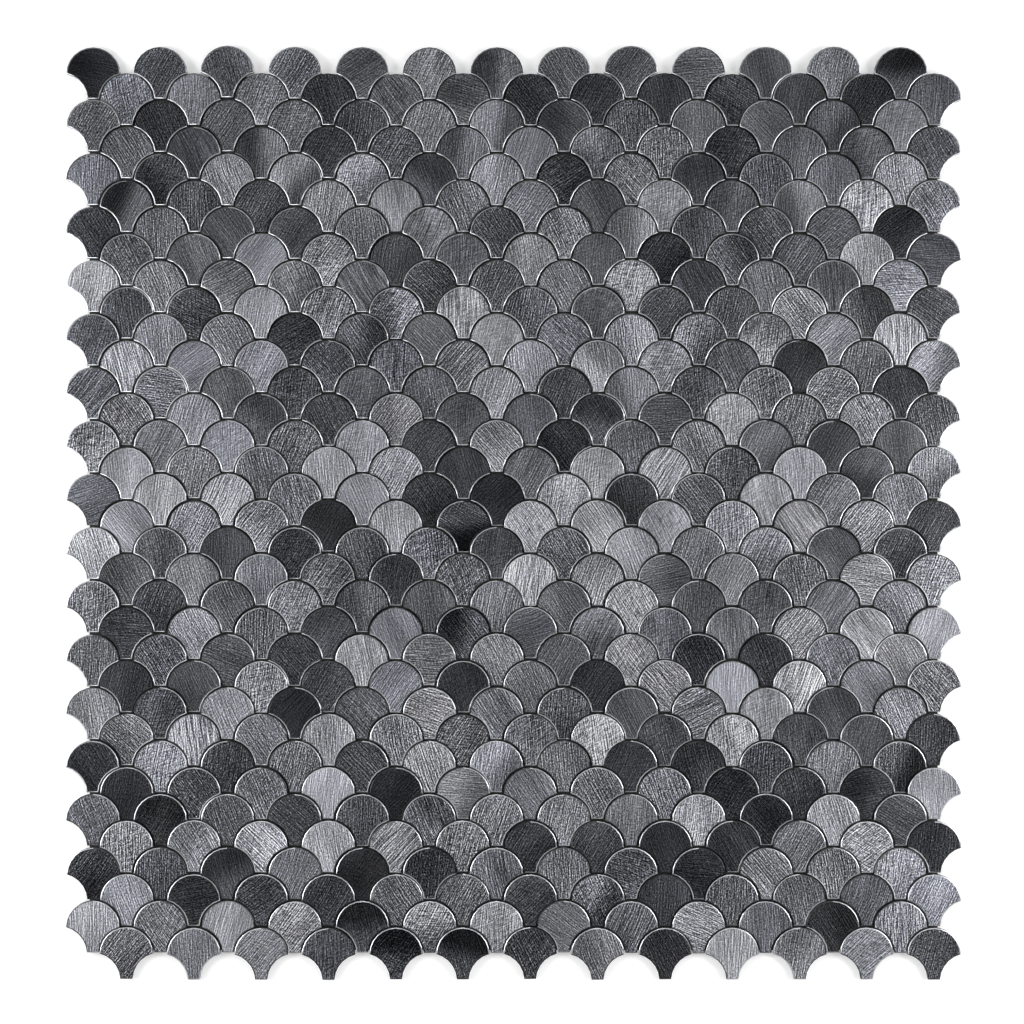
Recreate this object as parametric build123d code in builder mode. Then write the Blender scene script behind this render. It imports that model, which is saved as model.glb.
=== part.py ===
"""Peel-and-stick metal mosaic tile: rows of fish-scale chips on one adhesive mat, with a release liner under it.

The sheet lies face up. +X runs along the rows, +Y towards the rounded heads of the scales, +Z out of the face.
The origin is the middle of the sheet's outline, on the underside of the liner.
"""

import os
from math import acos, atan2, cos, hypot, sin, sqrt

from build123d import *

# Driving dimensions, in millimetres
COLUMNS = 13  # scales in every row
ROWS = 34  # every second row stands half a pitch to the right
SCALE_RADIUS = 8.725  # rounded head of a scale, and the step from one row to the next
FOOT_WIDTH = 3.75  # narrow end of a scale, where it passes between two heads of the next row
JOINT = 0.4  # open joint between a head and the flanks around it
FOOT_JOINT = 0.6  # open joint between a foot and the head below it
SCALE_THICKNESS = 3.0
RIM_BEVEL = 0.3  # dressed upper edge of a scale
MAT_THICKNESS = 0.8
MAT_SETBACK = 0.5  # the mat stops this far short of the notches along the sheet's edges
LINER_THICKNESS = 0.15

# Lattice of head centres
row_pitch = SCALE_RADIUS
column_pitch = 2 * (SCALE_RADIUS + JOINT) + FOOT_WIDTH
stagger = column_pitch / 2
foot_reach = 2 * row_pitch - SCALE_RADIUS - FOOT_JOINT

# Overall size of the sheet, and the first head centre, at the upper left
sheet_width = (COLUMNS - 1) * column_pitch + stagger + 2 * SCALE_RADIUS
sheet_length = SCALE_RADIUS + (ROWS - 1) * row_pitch + foot_reach
first_x = SCALE_RADIUS - sheet_width / 2
first_y = sheet_length / 2 - SCALE_RADIUS

# Heights of the layers
mat_base = LINER_THICKNESS
scale_base = mat_base + MAT_THICKNESS


def head_centre(row, column):
    """Centre of a scale's head, counting rows down from the top and columns from the left."""
    return (first_x + column * column_pitch + (row % 2) * stagger, first_y - row * row_pitch)


# Corners of a scale: each shoulder is where its head's circle meets a flank's, centred on a head of the next row
flank_radius = SCALE_RADIUS + JOINT
spacing = hypot(stagger, row_pitch)
opening = acos((SCALE_RADIUS**2 + spacing**2 - flank_radius**2) / (2 * SCALE_RADIUS * spacing))
rise = opening - atan2(row_pitch, stagger)
shoulder_x, shoulder_y = SCALE_RADIUS * cos(rise), SCALE_RADIUS * sin(rise)
foot_half = stagger - sqrt(flank_radius**2 - (row_pitch - foot_reach) ** 2)

os.makedirs("parts", exist_ok=True)

# One scale: a rounded head, two hollowed flanks and a flat foot, with a bevelled upper rim
with BuildPart() as scale:
    with BuildSketch(Plane.XY.offset(scale_base)):
        with BuildLine():
            ThreePointArc((shoulder_x, shoulder_y), (0, SCALE_RADIUS), (-shoulder_x, shoulder_y))
            for side in (-1, 1):
                flank_centre = Vector(side * stagger, -row_pitch)
                flank_top = Vector(side * shoulder_x, shoulder_y)
                flank_foot = Vector(side * foot_half, -foot_reach)
                towards_scale = ((flank_top + flank_foot) / 2 - flank_centre).normalized()
                ThreePointArc(flank_top, flank_centre + towards_scale * flank_radius, flank_foot)
            Line((-foot_half, -foot_reach), (foot_half, -foot_reach))
        make_face()
    extrude(amount=SCALE_THICKNESS)
    chamfer(scale.faces().sort_by(Axis.Z)[-1].edges(), RIM_BEVEL)

# The rows of scales, from the top of the sheet down
for row in range(ROWS):
    with BuildPart() as scale_row:
        with Locations(*[head_centre(row, column) for column in range(COLUMNS)]):
            add(scale.part)
    scale_row.part.label = f"scale_row_{row + 1:02d}"
    export_step(scale_row.part, f"parts/{scale_row.part.label}.step")

# The mat and liner are cut square just inside the notches, so the scales along the edges overhang them
notch_left = head_centre(0, 0)[0] - FOOT_WIDTH / 2
notch_right = head_centre(1, COLUMNS - 1)[0] + FOOT_WIDTH / 2
notch_top = head_centre(0, 0)[1] - (SCALE_RADIUS - sqrt(SCALE_RADIUS**2 - (stagger - shoulder_x) ** 2))
notch_bottom = head_centre(ROWS - 1, 0)[1] + FOOT_JOINT
mat_width = notch_right - notch_left - 2 * MAT_SETBACK
mat_length = notch_top - notch_bottom - 2 * MAT_SETBACK
mat_centre = ((notch_left + notch_right) / 2, (notch_top + notch_bottom) / 2)

# Adhesive mat that holds the scales together
with BuildPart() as adhesive_mat:
    with BuildSketch(Plane.XY.offset(mat_base)):
        with Locations(mat_centre):
            Rectangle(mat_width, mat_length)
    extrude(amount=MAT_THICKNESS)
adhesive_mat.part.label = "adhesive_mat"
export_step(adhesive_mat.part, "parts/adhesive_mat.step")

# Release liner that peels off before the sheet is stuck down
with BuildPart() as release_liner:
    with BuildSketch():
        with Locations(mat_centre):
            Rectangle(mat_width, mat_length)
    extrude(amount=LINER_THICKNESS)
release_liner.part.label = "release_liner"
export_step(release_liner.part, "parts/release_liner.step")

print(f"sheet {sheet_width:.2f} x {sheet_length:.2f} mm, mat {mat_width:.2f} x {mat_length:.2f} mm")
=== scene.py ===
"""Dressed model of a peel and stick metal tile: brushed fish scales on a mat with a release liner.

Everything is in metres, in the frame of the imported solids: the sheet lies face up, with its origin
under its middle and the heads of the scales towards +Y.
"""

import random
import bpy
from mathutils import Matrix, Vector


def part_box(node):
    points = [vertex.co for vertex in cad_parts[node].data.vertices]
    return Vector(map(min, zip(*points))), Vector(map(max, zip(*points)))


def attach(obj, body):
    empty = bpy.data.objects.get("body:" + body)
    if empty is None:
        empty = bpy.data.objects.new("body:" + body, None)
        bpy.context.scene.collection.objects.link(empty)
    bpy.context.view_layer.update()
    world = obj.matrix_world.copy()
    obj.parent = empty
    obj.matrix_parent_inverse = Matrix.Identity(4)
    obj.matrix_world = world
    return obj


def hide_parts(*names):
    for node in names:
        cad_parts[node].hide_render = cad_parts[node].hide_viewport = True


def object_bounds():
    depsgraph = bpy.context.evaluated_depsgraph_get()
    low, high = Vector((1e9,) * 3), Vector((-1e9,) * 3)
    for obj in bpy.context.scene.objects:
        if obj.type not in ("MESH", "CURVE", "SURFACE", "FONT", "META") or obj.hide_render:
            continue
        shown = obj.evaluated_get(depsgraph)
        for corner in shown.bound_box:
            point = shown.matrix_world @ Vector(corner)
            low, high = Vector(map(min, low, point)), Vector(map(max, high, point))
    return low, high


bl_info = {
    "name": "Peel and stick metal tile",
    "version": (1, 0, 0),
    "blender": (4, 5, 0),
    "location": "View3D > Sidebar > Metal tile",
    "description": "Builds a metal sheet's brushed scales, dresses its backing and sets the stage",
    "category": "Object",
}

from math import acos, atan2, cos, hypot, pi, radians, sin, sqrt

import bmesh
import bpy
from mathutils import Matrix, Vector

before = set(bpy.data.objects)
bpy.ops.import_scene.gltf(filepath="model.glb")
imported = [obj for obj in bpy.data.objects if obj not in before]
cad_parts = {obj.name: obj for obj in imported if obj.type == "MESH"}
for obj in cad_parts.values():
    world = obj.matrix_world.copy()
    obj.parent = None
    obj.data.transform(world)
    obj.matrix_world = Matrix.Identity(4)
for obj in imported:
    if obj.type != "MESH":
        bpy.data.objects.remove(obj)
CAD_BOX = [list(corner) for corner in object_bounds()]
MM = 0.001
# A level of grey to this power is the light that the shader takes
DISPLAY_GAMMA = 2.2
# The picture's side in pixels, and the camera's sensor in millimetres
PICTURE_SIDE = 1024
SENSOR = 36.0
# Material slots of a scale
FACE, RIM, SIDE = 0, 1, 2
# Numbers that every scale carries on its faces for the shaders
SCALE_TRAITS = ("tone", "split", "grit", "cross", "bold", "cast", "wear_and_highlight")


class ScaleSizes(bpy.types.PropertyGroup):
    """Sizes of the scales and of their lattice"""

    columns: bpy.props.IntProperty(
        name="Columns", description="Scales in every row", default=13, min=2
    )
    rows: bpy.props.IntProperty(name="Rows", description="Rows of scales", default=34, min=2)
    rows_per_piece: bpy.props.IntProperty(
        name="Rows per piece", description="Rows that are joined into one object", default=2, min=1
    )
    radius: bpy.props.FloatProperty(
        name="Head radius",
        description="Radius of a scale's head",
        default=8.725 * MM,
        unit="LENGTH",
        precision=5,
    )
    foot_width: bpy.props.FloatProperty(
        name="Foot width",
        description="Width of a scale's foot",
        default=3.75 * MM,
        unit="LENGTH",
        precision=5,
    )
    joint: bpy.props.FloatProperty(
        name="Joint",
        description="Open joint around a head",
        default=0.4 * MM,
        unit="LENGTH",
        precision=5,
    )
    foot_joint: bpy.props.FloatProperty(
        name="Foot joint",
        description="Open joint under a foot",
        default=0.6 * MM,
        unit="LENGTH",
        precision=5,
    )
    rim: bpy.props.FloatProperty(
        name="Rim",
        description="Width of the rolled-over rim",
        default=0.32 * MM,
        unit="LENGTH",
        precision=5,
    )
    rim_drop: bpy.props.FloatProperty(
        name="Rim drop",
        description="Fall of the rim from face to side",
        default=0.133 * MM,
        unit="LENGTH",
        precision=5,
    )
    sink: bpy.props.FloatProperty(
        name="Sink",
        description="Depth of the most sunken level face",
        default=0.45 * MM,
        unit="LENGTH",
        precision=5,
    )
    tip: bpy.props.FloatProperty(
        name="Tip",
        description="Fall of the most tipped face",
        default=1.2 * MM,
        unit="LENGTH",
        precision=5,
    )
    shift: bpy.props.FloatProperty(
        name="Shift",
        description="Usual error in laying a scale",
        default=0.11 * MM,
        unit="LENGTH",
        precision=5,
    )
    seed: bpy.props.IntProperty(
        name="Seed", description="Seed for tone, brushing and seating", default=3413
    )


class Finishes(bpy.types.PropertyGroup):
    """Colours of the finishes, as they are written into the shaders"""

    cool: bpy.props.FloatVectorProperty(
        name="Cool tint",
        description="Cast of the coolest faces, times their grey",
        default=(0.955, 0.99, 1.13),
        min=0,
        max=2,
    )
    warm: bpy.props.FloatVectorProperty(
        name="Warm tint",
        description="Cast of the warmest faces, times their grey",
        default=(0.985, 0.99, 1.05),
        min=0,
        max=2,
    )
    rim: bpy.props.FloatVectorProperty(
        name="Bare rim",
        description="Bare aluminium along the rims",
        subtype="COLOR",
        default=(0.85, 0.87, 0.91),
    )
    core: bpy.props.FloatVectorProperty(
        name="Core",
        description="Polymer core on the scales' sides",
        subtype="COLOR",
        default=(0.02, 0.02, 0.022),
    )
    mat: bpy.props.FloatVectorProperty(
        name="Adhesive mat",
        description="Black adhesive mat",
        subtype="COLOR",
        default=(0.018, 0.018, 0.019),
    )
    liner: bpy.props.FloatVectorProperty(
        name="Release liner",
        description="Coated backing paper",
        subtype="COLOR",
        default=(0.79, 0.765, 0.70),
    )


class Stage(bpy.types.PropertyGroup):
    """Floor, lamps and camera"""

    floor: bpy.props.FloatVectorProperty(
        name="Floor", description="Pale floor", subtype="COLOR", default=(0.93, 0.93, 0.93)
    )
    floor_reach: bpy.props.FloatProperty(
        name="Floor reach", description="Half the floor's width", default=4.0, unit="LENGTH"
    )
    lift: bpy.props.FloatProperty(
        name="Lift", description="Light added to the seen floor", default=0.2, min=0
    )
    far_lift: bpy.props.FloatProperty(
        name="Far lift",
        description="Light added to the floor away from the sheet",
        default=0.75,
        min=0,
    )
    walls: bpy.props.FloatProperty(
        name="Walls", description="Light of the surroundings near the horizon", default=0.65, min=0
    )
    ceiling: bpy.props.FloatProperty(
        name="Ceiling", description="Light of the surroundings overhead", default=0.12, min=0
    )
    side_power: bpy.props.FloatProperty(
        name="Side lamps",
        description="Power of each lamp left and right of the sheet",
        default=2.3,
        unit="POWER",
    )
    end_power: bpy.props.FloatProperty(
        name="End lamps",
        description="Power of each lamp beyond the sheet's head and foot",
        default=4.0,
        unit="POWER",
    )
    top_power: bpy.props.FloatProperty(
        name="Top lamp", description="Power of the lamp overhead", default=3.6, unit="POWER"
    )
    frame_width: bpy.props.FloatProperty(
        name="Frame width",
        description="Width that the picture takes in",
        default=334.5 * MM,
        unit="LENGTH",
    )
    lens: bpy.props.FloatProperty(
        name="Lens", description="Focal length in millimetres", default=120.0, unit="CAMERA"
    )


# Laying: tries for a place that leaves the joints open, and the most of a joint that errors take
LAYING_TRIES = 40
JOINT_TAKEN = 0.6


class Lattice:
    """Places and corner points of the scales, worked out from their sizes."""

    def __init__(self, sizes, dice):
        self.radius = sizes.radius
        self.flank = sizes.radius + sizes.joint
        self.pitch = 2 * self.flank + sizes.foot_width
        self.stagger = self.pitch / 2
        self.reach = sizes.radius - sizes.foot_joint
        low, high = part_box("scale_row_01")
        self.base, self.top = low.z, high.z
        self.first_x = CAD_BOX[0][0] + self.radius
        self.first_y = -CAD_BOX[0][1] - self.radius
        # Where the head ends and the flank begins, as an angle at the head's centre
        spacing = hypot(self.stagger, self.radius)
        opening = self.radius**2 + spacing**2 - self.flank**2
        opening = acos(opening / (2 * self.radius * spacing))
        self.rise = opening - atan2(self.radius, self.stagger)
        self.foot_half = self.stagger - sqrt(self.flank**2 - (self.radius - self.reach) ** 2)
        self.slips = self.lay(sizes, dice)
        # Filled as the scales are made: whether the left and right flank of each are bare
        self.bare_flanks = {}

    def centre(self, row, column):
        """Centre of a scale's head, in plan."""
        x = self.first_x + column * self.pitch + (row % 2) * self.stagger
        return Vector((x, self.first_y - row * self.radius, 0))

    def lay(self, sizes, dice):
        """Small errors in laying the scales, drawn so that no joint closes."""
        slips = {}
        for row in range(sizes.rows):
            for column in range(sizes.columns):
                near = ((row - 1, column + row % 2 - step) for step in (0, 1))
                above = [slips[place] for place in near if place in slips]
                for _ in range(LAYING_TRIES):
                    slip = Vector((dice.gauss(0, 1), dice.gauss(0, 1), 0)) * sizes.shift
                    if all((slip - other).length < JOINT_TAKEN * sizes.joint for other in above):
                        break
                else:
                    slip = sum(above, Vector((0, 0, 0))) / len(above)
                slips[row, column] = slip
        return slips


def mesh_from(shape, name):
    """A mesh with the shape of a bmesh, which is freed."""
    mesh = bpy.data.meshes.new(name)
    shape.to_mesh(mesh)
    shape.free()
    return mesh


def placed_object(name, data):
    """A new object at the origin of the scene."""
    item = bpy.data.objects.new(name, data)
    bpy.context.collection.objects.link(item)
    return item


def new_material(name):
    """An empty node material with its shader, its tree and its output joined up."""
    material = bpy.data.materials.new(name)
    material.use_nodes = True
    tree = material.node_tree
    tree.nodes.clear()
    shader = tree.nodes.new("ShaderNodeBsdfPrincipled")
    output = tree.nodes.new("ShaderNodeOutputMaterial")
    tree.links.new(shader.outputs["BSDF"], output.inputs["Surface"])
    return material, tree, shader


def add_node(tree, kind, settings=None, **inputs):
    """A node with its settings and inputs, each input a value or another node's output.

    An input goes by its name, or by its number as i0, i1 and so on where several share a name.
    """
    node = tree.nodes.new(kind)
    for key, value in (settings or {}).items():
        setattr(node, key, value)
    for key, value in inputs.items():
        by_number = key[0] == "i" and key[1:].isdigit()
        socket = node.inputs[int(key[1:]) if by_number else key]
        if isinstance(value, bpy.types.NodeSocket):
            tree.links.new(value, socket)
        else:
            socket.default_value = value
    return node


def calc(tree, operation, a, b=0.0):
    """The result of a Math node."""
    return add_node(tree, "ShaderNodeMath", {"operation": operation}, i0=a, i1=b).outputs[0]


def vector_sum(tree, a, b):
    """The sum of two vectors."""
    return add_node(tree, "ShaderNodeVectorMath", {"operation": "ADD"}, i0=a, i1=b).outputs[0]


def scaled(tree, vector, factor):
    """A vector or colour times a number."""
    node = add_node(tree, "ShaderNodeVectorMath", {"operation": "SCALE"}, i0=vector, Scale=factor)
    return node.outputs[0]


def map_range(tree, value, taken, given, smooth=False):
    """A number carried over from one range to another."""
    settings = {"interpolation_type": "SMOOTHSTEP" if smooth else "LINEAR"}
    limits = {"i1": taken[0], "i2": taken[1], "i3": given[0], "i4": given[1]}
    return add_node(tree, "ShaderNodeMapRange", settings, i0=value, **limits).outputs[0]


def mixed_colour(tree, share, first, second):
    """A colour between two others."""
    return add_node(
        tree, "ShaderNodeMix", {"data_type": "RGBA"}, i0=share, i6=first, i7=second
    ).outputs[2]


def shade(colour, level):
    """A darker or lighter shade of a colour, for a socket."""
    return (*[part * level for part in colour], 1)


def attribute(tree, name):
    """A number that every scale carries on its faces."""
    return add_node(tree, "ShaderNodeAttribute", {"attribute_name": name}).outputs["Fac"]


def own_map(tree, name):
    """A UV map of the scales, in millimetres or shares."""
    return add_node(tree, "ShaderNodeUVMap", {"uv_map": name}).outputs[0]


def part_of(tree, vector, index):
    """One of a vector's three numbers."""
    return add_node(tree, "ShaderNodeSeparateXYZ", Vector=vector).outputs[index]


def object_spot(tree):
    """The place on the object, in metres."""
    return add_node(tree, "ShaderNodeTexCoord").outputs["Object"]


def noise(tree, vector, scale, detail, roughness=0.5):
    """A cloudy number about 0.5 in the mean."""
    inputs = {"Scale": scale, "Detail": detail, "Roughness": roughness}
    return add_node(tree, "ShaderNodeTexNoise", Vector=vector, **inputs).outputs[0]


def add_bump(tree, shader, height, strength, depth):
    """Fine relief on a shader."""
    bump = add_node(tree, "ShaderNodeBump", Strength=strength, Distance=depth, Height=height)
    tree.links.new(bump.outputs[0], shader.inputs["Normal"])


# Most values of a noise lie in this range
NOISE_MIDDLE = (0.3, 0.7)
# Strokes, bands and grains to a millimetre, along the brushing and across it
FINE_STROKES = (0.18, 2.1)
BOLD_STROKES = (0.08, 1.1)
CROSS_STROKES = (0.26, 2.4)
BANDS = (0.05, 0.14)
GRAINS = (1.8, 2.8)
# Their strength, as shares of the face's grey
FINE_STRENGTH = 2.4
CROSS_STRENGTH = 1.8
BAND_STRENGTH = 0.5
GRAIN_STRENGTH = 2.6
# Tone at which no grain would show
GRAINLESS_TONE = 1.1
# Strokes stand out lighter than their ground by this share
STROKE_LIFT = 0.25
# Degrees between the strokes and the cross strokes
CROSSING = 66.0
# Thin strokes are what differs between lines this far apart, in millimetres
LINE_GAP = 0.2
# The strokes wander sideways by up to these millimetres, some times to a millimetre
WANDER = 1.6
WANDER_RATE = 0.07
# Half the way, in millimetres, over which a face goes from its lighter to its darker end
ENDS_REACH = 4.0
# Specks of bare metal: places to a millimetre, size there, share of places, and grey added
SPECK_RATE = 0.45
SPECK_SIZE = 0.07
SPECK_SHARE = 0.07
SPECK_LIGHT = 0.22
# Grey of the deepest strokes
DEEPEST_GREY = 0.06
# Light that bare metal gives back
BARE_LIGHT = 0.85
# Half the core of a scale, as a share of its thickness
CORE_HALF = 0.4


def stroke_noise(tree, vector, rate, detail, turn=0.0):
    """Noise drawn out along the first axis, as strokes turned by some degrees; 0 in the mean."""
    turned = add_node(tree, "ShaderNodeMapping", Vector=vector, Rotation=(0, 0, radians(turn)))
    drawn = add_node(tree, "ShaderNodeMapping", Vector=turned.outputs[0], Scale=(*rate, 1))
    strokes = noise(tree, drawn.outputs[0], scale=1.0, detail=detail, roughness=0.6)
    return calc(tree, "SUBTRACT", strokes, 0.5)


def wandering(tree, brush):
    """The brush map with a little sideways drift, so that the lines aren't ruled."""
    drift = calc(tree, "MULTIPLY", noise(tree, brush, WANDER_RATE, detail=0.0), WANDER)
    swing = add_node(tree, "ShaderNodeCombineXYZ", Y=drift).outputs[0]
    return vector_sum(tree, brush, swing)


def thin_strokes(tree, strokes):
    """Fine strokes less the line beside each, which leaves thin strokes and no broad ones."""
    beside = vector_sum(tree, strokes, (0, LINE_GAP, 0))
    lines = [stroke_noise(tree, place, FINE_STROKES, detail=1.0) for place in (strokes, beside)]
    return calc(tree, "SUBTRACT", *lines)


def brush_marks(tree, brush, strokes, fine):
    """All that the brushing leaves on a face, as a share of its grey: 0 in the mean."""
    across = stroke_noise(tree, strokes, CROSS_STROKES, detail=1.0, turn=CROSSING)
    crossing = calc(tree, "MULTIPLY", attribute(tree, "cross"), CROSS_STRENGTH)
    marks = calc(tree, "MULTIPLY", across, crossing)
    marks = calc(tree, "ADD", calc(tree, "MULTIPLY", fine, FINE_STRENGTH), marks)
    # The darker the face, the more its grain shows
    grain = stroke_noise(tree, brush, GRAINS, detail=0.0)
    dark = calc(tree, "SUBTRACT", GRAINLESS_TONE, attribute(tree, "tone"))
    grain = calc(tree, "MULTIPLY", grain, calc(tree, "MULTIPLY", dark, GRAIN_STRENGTH))
    marks = calc(tree, "MULTIPLY", calc(tree, "ADD", marks, grain), attribute(tree, "grit"))
    bold = stroke_noise(tree, strokes, BOLD_STROKES, detail=1.0)
    marks = calc(tree, "ADD", marks, calc(tree, "MULTIPLY", bold, attribute(tree, "bold")))
    bands = stroke_noise(tree, strokes, BANDS, detail=0.0)
    marks = calc(tree, "ADD", marks, calc(tree, "MULTIPLY", bands, BAND_STRENGTH))
    lift = calc(tree, "ADD", calc(tree, "MULTIPLY", marks, STROKE_LIFT), 1.0)
    return calc(tree, "MULTIPLY", marks, lift)


def ground_grey(tree):
    """Grey of a face before the strokes, with a lighter and a darker end on some scales."""
    along = part_of(tree, own_map(tree, "plan"), 0)
    ramp = map_range(tree, along, (-ENDS_REACH, ENDS_REACH), (-0.5, 0.5), smooth=True)
    ends = calc(tree, "MULTIPLY", ramp, attribute(tree, "split"))
    return calc(tree, "ADD", attribute(tree, "tone"), ends)


def bare_specks(tree, brush):
    """Grey that a few specks of bare metal add."""
    cells = add_node(tree, "ShaderNodeTexVoronoi", Vector=brush, Scale=SPECK_RATE)
    speck = calc(tree, "LESS_THAN", cells.outputs["Distance"], SPECK_SIZE)
    dealt = part_of(tree, cells.outputs["Color"], 0)
    rare = calc(tree, "GREATER_THAN", dealt, 1 - SPECK_SHARE)
    return calc(tree, "MULTIPLY", calc(tree, "MULTIPLY", speck, rare), SPECK_LIGHT)


def brushed_face(finishes):
    """Dark tinted aluminium, brushed each scale's own way, with cross strokes and bands."""
    material, tree, shader = new_material("brushed_aluminium")
    brush = own_map(tree, "brush")
    strokes = wandering(tree, brush)
    fine = thin_strokes(tree, strokes)
    marks = calc(tree, "ADD", brush_marks(tree, brush, strokes, fine), 1.0)
    grey = calc(tree, "MULTIPLY", ground_grey(tree), marks)
    grey = calc(tree, "ADD", grey, bare_specks(tree, brush))
    light = calc(tree, "POWER", calc(tree, "MAXIMUM", grey, DEEPEST_GREY), DISPLAY_GAMMA)
    tints = {"i4": tuple(finishes.cool), "i5": tuple(finishes.warm)}
    cast = add_node(
        tree, "ShaderNodeMix", {"data_type": "VECTOR"}, i0=attribute(tree, "cast"), **tints
    ).outputs[1]
    tree.links.new(scaled(tree, cast, light), shader.inputs["Base Color"])
    # Strokes are smoother than their ground
    rough = calc(tree, "ADD", calc(tree, "MULTIPLY", fine, -0.3), 0.42)
    tree.links.new(rough, shader.inputs["Roughness"])
    add_bump(tree, shader, fine, strength=0.12, depth=0.04 * MM)
    shader.inputs["Metallic"].default_value = 1.0
    shader.inputs["Anisotropic"].default_value = 0.5
    along_brush = {"direction_type": "UV_MAP", "uv_map": "brush"}
    tangent = add_node(tree, "ShaderNodeTangent", along_brush)
    tree.links.new(tangent.outputs[0], shader.inputs["Tangent"])
    return material


def worn_rim_and_painted_light(finishes):
    """Rim that is rolled over in the cutting: bare where it is worn, with a painted highlight where
    it faces the lamps, and tinted elsewhere.
    """
    material, tree, shader = new_material("worn_rim_and_painted_light")
    scuff = noise(tree, object_spot(tree), scale=700.0, detail=2.0)
    patch = map_range(tree, scuff, NOISE_MIDDLE, (0.75, 1.0))
    # How bare the rim is, with a painted highlight on the rims that face the lamps
    bareness_and_highlight = calc(tree, "MULTIPLY", patch, attribute(tree, "wear_and_highlight"))
    tint = calc(tree, "POWER", attribute(tree, "tone"), DISPLAY_GAMMA)
    level = map_range(tree, bareness_and_highlight, (0.0, 1.0), (tint, BARE_LIGHT))
    tree.links.new(scaled(tree, tuple(finishes.rim), level), shader.inputs["Base Color"])
    shader.inputs["Metallic"].default_value = 1.0
    shader.inputs["Roughness"].default_value = 0.28
    return material


def cut_side(finishes):
    """Cut side of a scale: a black polymer core between two thin metal skins."""
    material, tree, shader = new_material("cut_side")
    grain = noise(tree, object_spot(tree), scale=1500.0, detail=3.0)
    core = mixed_colour(tree, grain, shade(finishes.core, 0.6), shade(finishes.core, 1.5))
    # The share of the way up the side is the second number of the plan map
    height = part_of(tree, own_map(tree, "plan"), 1)
    from_middle = calc(tree, "ABSOLUTE", calc(tree, "SUBTRACT", height, 0.5))
    skin = calc(tree, "GREATER_THAN", from_middle, CORE_HALF)
    colour = mixed_colour(tree, skin, core, shade(finishes.rim, 0.45))
    tree.links.new(colour, shader.inputs["Base Color"])
    rough = map_range(tree, grain, NOISE_MIDDLE, (0.45, 0.65))
    tree.links.new(rough, shader.inputs["Roughness"])
    return material


def adhesive(finishes):
    """Black tacky mat with a fine pebbled skin."""
    material, tree, shader = new_material("adhesive_mat")
    pebble = noise(tree, object_spot(tree), scale=1400.0, detail=3.0, roughness=0.6)
    colour = mixed_colour(tree, pebble, shade(finishes.mat, 0.6), shade(finishes.mat, 1.5))
    tree.links.new(colour, shader.inputs["Base Color"])
    shader.inputs["Roughness"].default_value = 0.6
    add_bump(tree, shader, pebble, strength=0.3, depth=0.05 * MM)
    return material


def coated_paper(finishes):
    """Smooth release paper with faint fibres and a slight sheen."""
    material, tree, shader = new_material("release_liner")
    spot = object_spot(tree)
    cloud = noise(tree, spot, scale=60.0, detail=4.0, roughness=0.6)
    # Fibres lie along the rows
    stretched = add_node(tree, "ShaderNodeMapping", Vector=spot, Scale=(260, 2400, 260)).outputs[0]
    fibre = noise(tree, stretched, scale=1.0, detail=3.0)
    both = [calc(tree, "MULTIPLY", cloud, 0.55), calc(tree, "MULTIPLY", fibre, 0.45)]
    fleck = calc(tree, "ADD", *both)
    colour = mixed_colour(tree, fleck, shade(finishes.liner, 0.9), shade(finishes.liner, 1.07))
    tree.links.new(colour, shader.inputs["Base Color"])
    rough = map_range(tree, fibre, NOISE_MIDDLE, (0.36, 0.5))
    tree.links.new(rough, shader.inputs["Roughness"])
    add_bump(tree, shader, fibre, strength=0.15, depth=0.05 * MM)
    return material


# Straight steps in the outline of a scale's head and of each flank
HEAD_STEPS = 12
FLANK_STEPS = 5


def scale_master(lattice, rim, drop):
    """Mesh of one scale about its head's centre: face, rolled-over rim and sides, in slots."""
    shape = bmesh.new()
    radius, rise, upward = lattice.radius, lattice.rise, (0, 0, 1)
    # Outline: over the head from right to left, down the left flank, along the foot and back up
    point = shape.verts.new((radius * cos(rise), radius * sin(rise), lattice.base))
    arc = {"cent": (0, 0, 0), "axis": upward, "angle": pi - 2 * rise, "steps": HEAD_STEPS}
    turn = bmesh.ops.spin(shape, geom=[point], **arc)["geom_last"]
    down = atan2(radius * (sin(rise) + 1), lattice.stagger - radius * cos(rise))
    down -= atan2(radius - lattice.reach, lattice.stagger - lattice.foot_half)
    for side in (-1, 1):
        middle = (side * lattice.stagger, -radius, 0)
        arc = {"cent": middle, "axis": upward, "angle": -down, "steps": FLANK_STEPS}
        turn = bmesh.ops.spin(shape, geom=turn, **arc)["geom_last"]
        turn = [item for item in turn if isinstance(item, bmesh.types.BMVert)]
        if side < 0:
            turn = bmesh.ops.extrude_vert_indiv(shape, verts=turn)["verts"]
            bmesh.ops.translate(shape, verts=turn, vec=(2 * lattice.foot_half, 0, 0))
    bmesh.ops.remove_doubles(shape, verts=shape.verts[:], dist=0.02 * MM)
    bmesh.ops.contextual_create(shape, geom=shape.edges[:])
    # Thickness
    raised = bmesh.ops.extrude_face_region(shape, geom=shape.faces[:])["geom"]
    upper = [item for item in raised if isinstance(item, bmesh.types.BMVert)]
    bmesh.ops.translate(shape, verts=upper, vec=(0, 0, lattice.top - lattice.base))
    bmesh.ops.recalc_face_normals(shape, faces=shape.faces[:])
    top = [face for face in shape.faces if face.normal.z > 0.9]
    for face in shape.faces:
        face.material_index = FACE if face in top else SIDE
    # Rim
    rolled = bmesh.ops.inset_region(shape, faces=top, thickness=rim, use_even_offset=True)["faces"]
    bmesh.ops.translate(shape, verts=upper, vec=(0, 0, -drop))
    for face in rolled:
        face.material_index = RIM
        face.smooth = True
    return mesh_from(shape, "scale_master")


# Brushing: shares of the scales that are brushed upright and at a slant, the rest lying any way
UPRIGHT_SHARE = 0.36
SLANTED_SHARE = 0.5
# Degrees from upright: usual slant and spread
SLANT = 28
LEAN_SPREAD = 10
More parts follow.
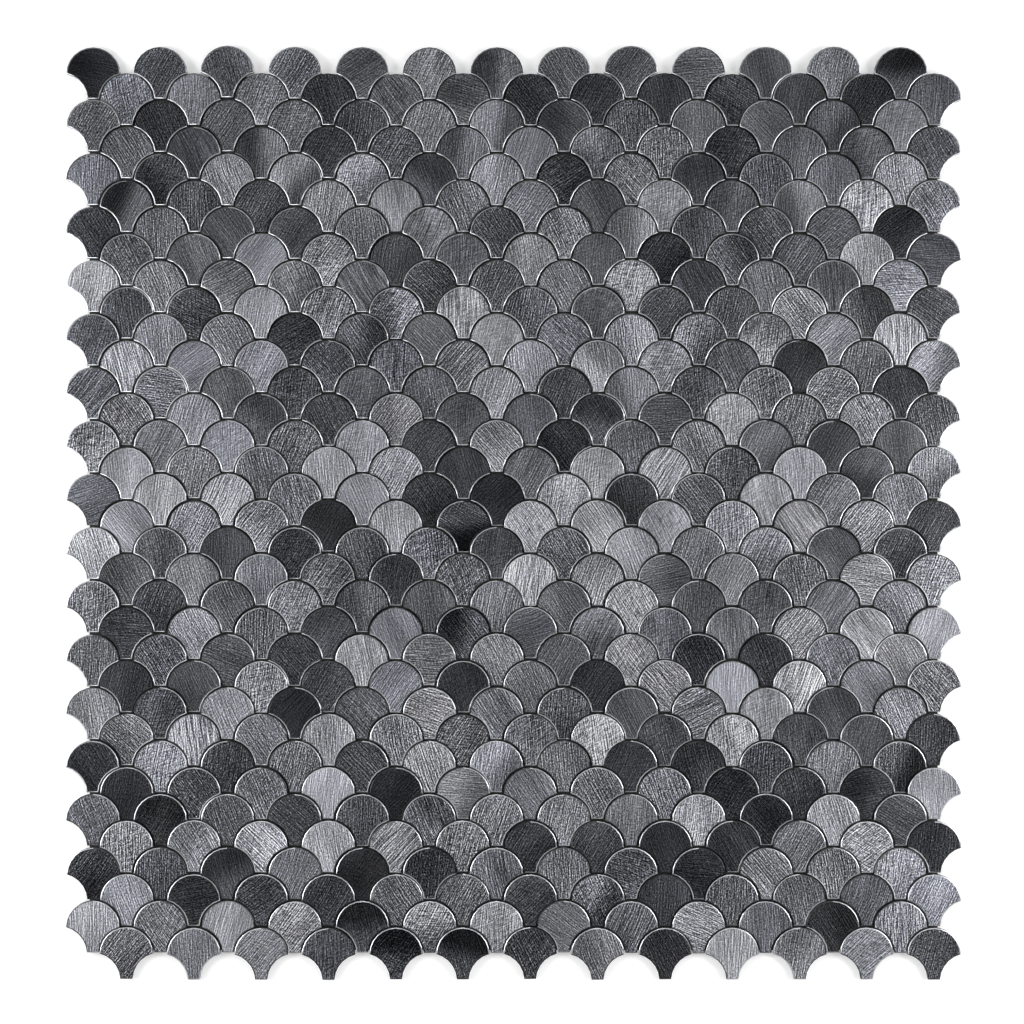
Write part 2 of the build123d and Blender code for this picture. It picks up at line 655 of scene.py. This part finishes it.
# Grey of the faces as a share of white, against the share of the faces that are darker
TONE_STEPS = (
    (0.0, 0.185),
    (0.05, 0.215),
    (0.25, 0.285),
    (0.5, 0.375),
    (0.75, 0.485),
    (0.95, 0.575),
    (1.0, 0.62),
)
DARKEST_TONE = 0.19
# Tone up the sheet: lighter in the middle, and towards the head drawn to a quiet dark grey
MIDDLE_LIFT = 0.055
END_DROP = 0.033
QUIET_FROM = 0.55
QUIET_SHARE = 0.42
QUIET_TONE = 0.3
# Painted sheen: faces brushed up the sheet are painted lighter and faces brushed across it darker,
# as the side lamps would light them, in full at this lean
UPRIGHT_PAINTED_SHEEN = 0.06
LEAN_PAINTED_DIMMING = 0.14
FULL_LEAN = 60
# Share of the scales with a clearly lighter end, and with bold lines
SPLIT_SHARE = 0.1
BOLD_SHARE = 0.2


def between(low, high, share):
    """The number at some share of the way from one to another."""
    return low + (high - low) * share


def dealt_lean(dice):
    """Direction of a scale's brushing, in degrees from upright."""
    way = dice.random()
    if way < UPRIGHT_SHARE:
        return dice.gauss(0, LEAN_SPREAD)
    if way < UPRIGHT_SHARE + SLANTED_SHARE:
        return dice.choice((-1, 1)) * dice.gauss(SLANT, LEAN_SPREAD)
    return dice.uniform(-90, 90)


def dealt_tone(dice, lean, height):
    """Grey of a face, with painted sheen by its lean: height runs from 0 at the sheet's foot to 1 at
    its head.
    """
    chance = dice.random()
    for (a, low), (b, high) in zip(TONE_STEPS, TONE_STEPS[1:]):
        if chance <= b:
            tone = between(low, high, (chance - a) / (b - a))
            break
    tone += MIDDLE_LIFT * sin(pi * height) - END_DROP
    quiet = QUIET_SHARE * max(0.0, (height - QUIET_FROM) / (1 - QUIET_FROM))
    tone = between(tone, QUIET_TONE, quiet)
    # Painted sheen: upright brushing is painted lighter, brushing across the sheet darker
    tone += UPRIGHT_PAINTED_SHEEN - LEAN_PAINTED_DIMMING * min(1.0, abs(lean) / FULL_LEAN)
    return max(DARKEST_TONE, tone)


def dealt_strength(dice, share, strong, weak):
    """A strength from the strong range for a share of the scales, or else from the weak one."""
    return dice.uniform(*strong) if dice.random() < share else dice.uniform(*weak)


def dealt_finish(dice, lean, height):
    """Tone and brushing of one scale, as the numbers that its faces carry."""
    tone = dealt_tone(dice, lean, height)
    if dice.random() < SPLIT_SHARE:
        split = dice.choice((-1, 1)) * dice.uniform(0.1, 0.22)
    else:
        split = dice.gauss(0, 0.035)
    # Brushing is strongest on faces of a middle tone and towards the sheet's foot
    grit = dice.uniform(0.6, 1.4) * (1.08 - abs(tone - 0.43)) * (1.1 - 0.2 * height)
    # Dark faces have more cross strokes, and light ones bolder lines
    cross = dealt_strength(dice, 0.75 - 0.7 * tone, (0.4, 1.0), (0.0, 0.2))
    bold = dealt_strength(dice, BOLD_SHARE, (1.8 * tone, 3.4 * tone), (0.1, 0.5))
    # The darker the face, the cooler its cast
    cast = min(1.0, max(0.0, dice.gauss(0.5 + 0.9 * (tone - 0.44), 0.2)))
    dealt = (tone, split, grit, cross, bold, cast, 0.0)
    return dict(zip(SCALE_TRAITS, dealt))


# Chances of a bare rim: on a head against a bare and a tinted flank, on a flank at foot and head;
# the rise towards the head is a painted highlight
BARE_HEADS = (0.1, 0.9)
FLANK_BARENESS_AND_HIGHLIGHT = (0.2, 0.9)
# How bare a bare rim is, and a tinted one, at least and at most
BARE = (0.8, 1.0)
TINTED = (0.0, 0.08)
# Painted highlight on the bare rims, and what it loses up the sheet from this height
PAINTED_GLEAM = 1.1
PAINTED_GLEAM_LOSS = 1.2
PAINTED_GLEAM_FROM = 0.6
# Least painted highlight across the top of a head and along a foot, as a share of that on the
# shoulders, which face the side lamps
LEVEL_PAINTED_GLEAM = 0.42
# Feet get more painted highlight above this height on the sheet, and the tops of the heads below
# this one, as the lamps would light them
FEET_FROM = 0.4
HEADS_TO = 0.6
# Painted shade: the tint is darker by this share down the shoulders, as in the shade of the joint,
# than across head and foot
SHOULDER_PAINTED_SHADE = 0.65


def dealt_rims(dice, lattice, row, column, height):
    """How bare a rim is on the left and right of the head, and on the left and right flank, with
    painted highlight.

    Along most joints one rim is bare and the other tinted. Bare flanks are more common towards the
    sheet's head, as a painted highlight where the lamps light them.
    """
    # The flanks in the row above that lie against this head
    against = [(row - 1, column + row % 2 - 1 + side, 1 - side) for side in (0, 1)]
    odds = [BARE_HEADS[not lattice.bare_flanks.get(flank)] for flank in against]
    odds += [between(*FLANK_BARENESS_AND_HIGHLIGHT, height)] * 2
    worn = [(dice.random() < chance, dice.random()) for chance in odds]
    for side in (0, 1):
        lattice.bare_flanks[row, column, side] = worn[2 + side][0]
    # Painted highlight, weaker towards the sheet's head
    painted_gleam = PAINTED_GLEAM - PAINTED_GLEAM_LOSS * max(0.0, height - PAINTED_GLEAM_FROM)
    return [painted_gleam * between(*(BARE if is_bare else TINTED), part) for is_bare, part in worn]


def rim_look(face, lattice, bareness_and_highlight, height):
    """How bare one face of a rim is, with painted highlight, and the share of tone left by painted
    shade.
    """
    middle = face.calc_center_median()
    below = middle.y < lattice.radius * sin(lattice.rise)
    # 1 where the rim faces left or right, 0 across the top of the head and along the foot
    shoulder = abs(face.normal.x) / hypot(face.normal.x, face.normal.y)
    along_foot = below and shoulder < 0.1
    level = max(bareness_and_highlight[2:]) if along_foot else bareness_and_highlight[2 * below + (middle.x > 0)]
    # Painted highlight: barest on the shoulders, which face the side lamps, and by height on feet
    # and head tops
    painted_gleam = LEVEL_PAINTED_GLEAM + max(0.0, height - FEET_FROM if below else HEADS_TO - height)
    # Painted shade down the shoulders: the share of the tint's tone that is left
    return level * between(painted_gleam, 1.0, shoulder), 1 - SHOULDER_PAINTED_SHADE * shoulder


# Seating: shares of the scales that are tipped, and of the others that stand level with the top
TIPPED_SHARE = 0.12
PROUD_SHARE = 0.15


def seating(dice, sizes, lattice):
    """Slope and sink of a scale's upper half: most lie low, some stand proud, some are tipped."""
    tipped = dice.random() < TIPPED_SHARE
    fall = sizes.tip * (dice.uniform(0.6, 1.0) if tipped else dice.uniform(0.0, 0.2))
    proud = tipped or dice.random() < PROUD_SHARE
    sink = fall / 2 + (0.0 if proud else dice.uniform(0.6, 1.0) * sizes.sink)
    uphill = dice.uniform(0, 2 * pi)
    slope = Matrix.Identity(4)
    slope[2][0] = cos(uphill) * fall / (2 * lattice.radius)
    slope[2][1] = sin(uphill) * fall / (2 * lattice.radius)
    slope[2][3] = -sink
    return slope


class ScaleRows:
    """Mesh of some rows of scales, with the maps and numbers that the shaders read."""

    def __init__(self, sizes, lattice, dice, master):
        self.sizes, self.lattice, self.dice, self.master = sizes, lattice, dice, master
        self.shape = bmesh.new()
        self.brush = self.shape.loops.layers.uv.new("brush")
        self.plan = self.shape.loops.layers.uv.new("plan")
        self.traits = {name: self.shape.faces.layers.float.new(name) for name in SCALE_TRAITS}

    def add_scale(self, row, column):
        """One scale, cut from the master, in its place."""
        shape, lattice, dice = self.shape, self.lattice, self.dice
        known_verts, known_faces = len(shape.verts), len(shape.faces)
        shape.from_mesh(self.master)
        shape.verts.ensure_lookup_table()
        shape.faces.ensure_lookup_table()
        verts, faces = shape.verts[known_verts:], shape.faces[known_faces:]
        height = 1 - row / (self.sizes.rows - 1)
        lean = dealt_lean(dice)
        finish = dealt_finish(dice, lean, height)
        bareness_and_highlight = dealt_rims(dice, lattice, row, column, height)
        for face in faces:
            self.set_traits(face, finish, bareness_and_highlight, height)
        self.lay_maps(faces, lean)
        upper = [vert for vert in verts if vert.co.z > (lattice.base + lattice.top) / 2]
        slope = seating(dice, self.sizes, lattice)
        bmesh.ops.transform(shape, matrix=slope, verts=upper)
        place = lattice.centre(row, column) + lattice.slips[row, column]
        bmesh.ops.translate(shape, verts=verts, vec=place)

    def set_traits(self, face, finish, bareness_and_highlight, height):
        """The numbers that the shaders read, on one face."""
        for name, layer in self.traits.items():
            face[layer] = finish[name]
        if face.material_index == RIM:
            wear_and_highlight, unshaded_share = rim_look(face, self.lattice, bareness_and_highlight, height)
            face[self.traits["wear_and_highlight"]] = wear_and_highlight
            # Painted shade: the tint's tone is darkened down the shoulders
            face[self.traits["tone"]] = unshaded_share * finish["tone"]

    def lay_maps(self, faces, lean):
        """The brush map along the strokes, and the plan map to the lighter end or up the sides."""
        lattice, dice = self.lattice, self.dice
        along = Matrix.Rotation(-radians(90 + lean), 2)
        ends = Matrix.Rotation(dice.uniform(0, 2 * pi), 2)
        # Far enough from other scales for strokes of their own
        start = Vector((dice.uniform(-400, 400), dice.uniform(-400, 400)))
        for face in faces:
            for loop in face.loops:
                spot = loop.vert.co.xy / MM
                loop[self.brush].uv = along @ spot + start
                loop[self.plan].uv = ends @ spot
                if face.material_index == SIDE:
                    share = (loop.vert.co.z - lattice.base) / (lattice.top - lattice.base)
                    loop[self.plan].uv = (0, share)


class METALTILE_OT_scales(bpy.types.Operator):
    """Build the rows of brushed scales"""

    bl_idname = "metaltile.scales"
    bl_label = "Brushed scales"

    def execute(self, context):
        sizes, finishes = context.scene.metaltile_sizes, context.scene.metaltile_finishes
        dice = random.Random(sizes.seed)
        lattice = Lattice(sizes, dice)
        master = scale_master(lattice, sizes.rim, sizes.rim_drop)
        materials = [brushed_face(finishes), worn_rim_and_painted_light(finishes), cut_side(finishes)]
        for first in range(0, sizes.rows, sizes.rows_per_piece):
            rows = range(first, min(first + sizes.rows_per_piece, sizes.rows))
            self.build_piece(rows, ScaleRows(sizes, lattice, dice, master), materials)
        bpy.data.meshes.remove(master)
        return {"FINISHED"}

    def build_piece(self, rows, scales, materials):
        """Some rows of scales as one object."""
        for row in rows:
            for column in range(scales.sizes.columns):
                scales.add_scale(row, column)
        name = f"scales_{rows[0] + 1:02d}_{rows[-1] + 1:02d}"
        mesh = mesh_from(scales.shape, name)
        for material in materials:
            mesh.materials.append(material)
        piece = placed_object(name, mesh)
        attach(piece, "root")
        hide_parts(*[f"scale_row_{row + 1:02d}" for row in rows])


class METALTILE_OT_backing(bpy.types.Operator):
    """Dress the adhesive mat and the release liner"""

    bl_idname = "metaltile.backing"
    bl_label = "Mat and liner"

    def execute(self, context):
        finishes = context.scene.metaltile_finishes
        dresses = {"adhesive_mat": adhesive(finishes), "release_liner": coated_paper(finishes)}
        for node, material in dresses.items():
            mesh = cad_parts[node].data
            mesh.materials.clear()
            mesh.materials.append(material)
        return {"FINISHED"}


# The floor lies this far under the liner
FLOOR_GAP = 0.05 * MM
# The floor's lift grows between these distances from the sheet's middle
LIFT_REACH = (0.25, 1.05)
# The walls give way to the ceiling between these heights: 0 is the horizon and 1 the zenith
WALL_TOP = (0.35, 0.62)
# Places and widths of the lamps: side and end lamps have a twin across the sheet
SIDE_LAMPS = ((0.45, 0.0, 0.45), 0.3)
END_LAMPS = ((0.0, 1.25, 1.5), 0.45)
TOP_LAMP = ((0.0, 0.0, 1.6), 1.3)
# The middle of the view, in pixels right of and above the sheet's middle
FRAMING = (-1.6, 1.0)


class METALTILE_OT_stage(bpy.types.Operator):
    """Set the floor, the lamps and the camera"""

    bl_idname = "metaltile.stage"
    bl_label = "Stage"

    def execute(self, context):
        scene, stage = context.scene, context.scene.metaltile_stage
        self.add_floor(stage)
        self.add_world(scene, stage)
        (x, y, z), width = SIDE_LAMPS
        self.add_lamp("left_lamp", (-x, y, z), width, stage.side_power)
        self.add_lamp("right_lamp", (x, y, z), width, stage.side_power)
        (x, y, z), width = END_LAMPS
        self.add_lamp("foot_lamp", (x, -y, z), width, stage.end_power)
        self.add_lamp("head_lamp", (x, y, z), width, stage.end_power)
        self.add_lamp("top_lamp", *TOP_LAMP, stage.top_power)
        self.add_camera(scene, stage)
        scene.view_settings.view_transform = "Standard"
        return {"FINISHED"}

    def add_floor(self, stage):
        """Pale floor just under the liner, white to the camera where nothing shades it."""
        shape = bmesh.new()
        bmesh.ops.create_grid(shape, x_segments=1, y_segments=1, size=stage.floor_reach)
        bmesh.ops.translate(shape, verts=shape.verts[:], vec=(0, 0, -FLOOR_GAP))
        mesh = mesh_from(shape, "floor")
        material, tree, shader = new_material("pale_floor")
        shader.inputs["Base Color"].default_value = (*stage.floor, 1)
        shader.inputs["Roughness"].default_value = 0.9
        shader.inputs["Specular IOR Level"].default_value = 0.0
        # The seen floor is lifted to white, more so far out where the lamps don't reach
        path = add_node(tree, "ShaderNodeLightPath").outputs
        seen = calc(tree, "MAXIMUM", path["Is Camera Ray"], path["Is Glossy Ray"])
        seen = calc(tree, "MAXIMUM", seen, path["Is Transmission Ray"])
        length = {"operation": "LENGTH"}
        away = add_node(tree, "ShaderNodeVectorMath", length, i0=object_spot(tree)).outputs["Value"]
        lift = map_range(tree, away, LIFT_REACH, (stage.lift, stage.far_lift), smooth=True)
        shader.inputs["Emission Color"].default_value = (1, 1, 1, 1)
        tree.links.new(calc(tree, "MULTIPLY", seen, lift), shader.inputs["Emission Strength"])
        mesh.materials.append(material)
        floor = placed_object("floor", mesh)

    def add_world(self, scene, stage):
        """Pale walls near the horizon under a dimmer ceiling."""
        world = bpy.data.worlds.new("surroundings")
        world.use_nodes = True
        tree = world.node_tree
        height = part_of(tree, add_node(tree, "ShaderNodeTexCoord").outputs["Generated"], 2)
        level = map_range(tree, height, WALL_TOP, (stage.walls, stage.ceiling), smooth=True)
        background = tree.nodes["Background"]
        tree.links.new(level, background.inputs["Strength"])
        background.inputs["Color"].default_value = (1, 1, 1, 1)
        scene.world = world

    def add_lamp(self, name, place, width, power):
        """Square soft lamp aimed at the middle of the sheet."""
        lamp = bpy.data.lights.new(name, "AREA")
        lamp.shape = "SQUARE"
        lamp.size = width
        lamp.energy = power
        holder = placed_object(name, lamp)
        holder.location = place
        holder.rotation_euler = Vector(place).to_track_quat("Z", "Y").to_euler()
        holder.visible_camera = False

    def add_camera(self, scene, stage):
        """Camera straight above the sheet, with the scales' heads towards the picture's top."""
        camera = bpy.data.cameras.new("camera")
        camera.lens = stage.lens
        camera.sensor_width = SENSOR
        camera.clip_end = 50
        camera.shift_x, camera.shift_y = [pixels / PICTURE_SIDE for pixels in FRAMING]
        holder = placed_object("camera", camera)
        holder.location = (0, 0, CAD_BOX[1][2] + stage.frame_width * stage.lens / SENSOR)
        scene.camera = holder


class METALTILE_PT_panel(bpy.types.Panel):
    """Sizes, finishes and steps of the metal tile"""

    bl_idname = "METALTILE_PT_panel"
    bl_label = "Metal tile"
    bl_space_type = "VIEW_3D"
    bl_region_type = "UI"
    bl_category = "Metal tile"

    def draw(self, context):
        for group in GROUPS:
            box = self.layout.box()
            for name in GROUPS[group].__annotations__:
                box.prop(getattr(context.scene, group), name)
        for step in STEPS:
            self.layout.operator(step.bl_idname)


GROUPS = {
    "metaltile_sizes": ScaleSizes,
    "metaltile_finishes": Finishes,
    "metaltile_stage": Stage,
}
STEPS = (METALTILE_OT_scales, METALTILE_OT_backing, METALTILE_OT_stage)
CLASSES = (*GROUPS.values(), *STEPS, METALTILE_PT_panel)


def register():
    """Register the classes and give every scene their settings."""
    for item in CLASSES:
        bpy.utils.register_class(item)
    bpy.types.Scene.metaltile_sizes = bpy.props.PointerProperty(type=ScaleSizes)
    bpy.types.Scene.metaltile_finishes = bpy.props.PointerProperty(type=Finishes)
    bpy.types.Scene.metaltile_stage = bpy.props.PointerProperty(type=Stage)


def unregister():
    """Take the settings and the classes out again."""
    del bpy.types.Scene.metaltile_stage
    del bpy.types.Scene.metaltile_finishes
    del bpy.types.Scene.metaltile_sizes
    for item in reversed(CLASSES):
        bpy.utils.unregister_class(item)


def main():
    """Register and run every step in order."""
    register()
    bpy.ops.metaltile.scales()
    bpy.ops.metaltile.backing()
    bpy.ops.metaltile.stage()
    bpy.context.view_layer.update()


if __name__ == "__main__":
    main()
